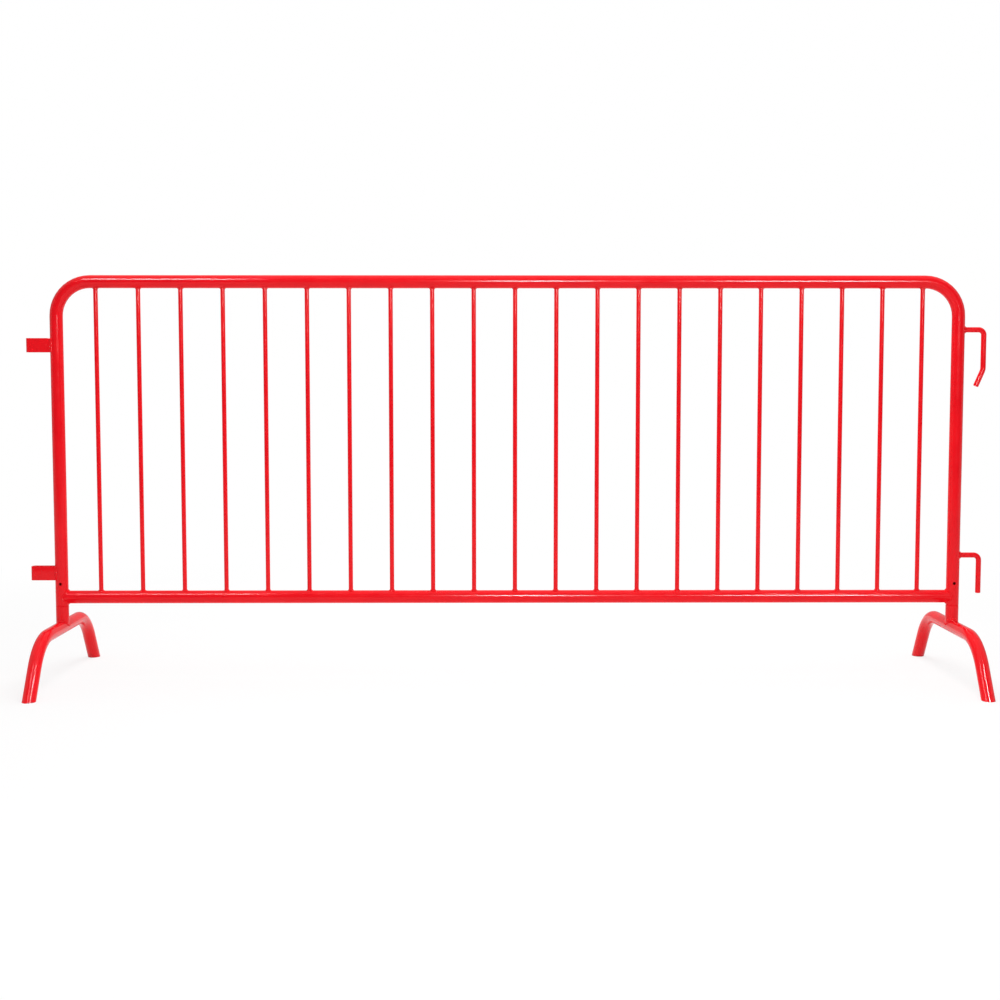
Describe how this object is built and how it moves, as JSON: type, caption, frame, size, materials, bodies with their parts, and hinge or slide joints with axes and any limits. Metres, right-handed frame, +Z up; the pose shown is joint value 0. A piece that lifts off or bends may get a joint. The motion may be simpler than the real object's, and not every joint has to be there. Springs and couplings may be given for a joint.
{
  "type": "steel barricade",
  "caption": "Long steel crowd barricade: a bent tube frame with upright bars, hooks and sleeves that link it to its neighbours, and lift-off bridge feet.",
  "frame": {"origin": "on the floor, midway between the axes of the two posts", "axes": "+X along the barricade from the sleeve post to the hook post, +Z up, -Y towards the front"},
  "size_m": [2.5871, 0.6928, 1.092],
  "materials": {
    "red_powder_coat": "gloss red powder coat over welded steel"
  },
  "bodies": {
    "barrier": {"frame_tube": "red_powder_coat", "bottom_rail": "red_powder_coat", "upright_01": "red_powder_coat", "upright_02": "red_powder_coat", "upright_03": "red_powder_coat", "upright_04": "red_powder_coat", "upright_05": "red_powder_coat", "upright_06": "red_powder_coat", "upright_07": "red_powder_coat", "upright_08": "red_powder_coat", "upright_09": "red_powder_coat", "upright_10": "red_powder_coat", "upright_11": "red_powder_coat", "upright_12": "red_powder_coat", "upright_13": "red_powder_coat", "upright_14": "red_powder_coat", "upright_15": "red_powder_coat", "upright_16": "red_powder_coat", "upright_17": "red_powder_coat", "upright_18": "red_powder_coat", "upright_19": "red_powder_coat", "upright_20": "red_powder_coat", "upright_21": "red_powder_coat", "upper_sleeve": "red_powder_coat", "lower_sleeve": "red_powder_coat", "upper_hook": "red_powder_coat", "lower_hook": "red_powder_coat", "upright_top_welds": "red_powder_coat", "upright_bottom_welds": "red_powder_coat", "rail_end_welds": "red_powder_coat", "sleeve_welds": "red_powder_coat", "hook_welds": "red_powder_coat"},
    "left_foot": {"left_foot_bridge": "red_powder_coat", "left_foot_collar": "red_powder_coat", "left_foot_spigot": "red_powder_coat", "left_foot_weld": "red_powder_coat"},
    "right_foot": {"right_foot_bridge": "red_powder_coat", "right_foot_collar": "red_powder_coat", "right_foot_spigot": "red_powder_coat", "right_foot_weld": "red_powder_coat"}
  },
  "joints": [
    {"name": "left_foot_slide", "type": "slide", "parent": "barrier", "child": "left_foot", "axis": [0, 0, 1], "range_m": [-0.11, 0]},
    {"name": "right_foot_slide", "type": "slide", "parent": "barrier", "child": "right_foot", "axis": [0, 0, 1], "range_m": [-0.11, 0]}
  ]
}
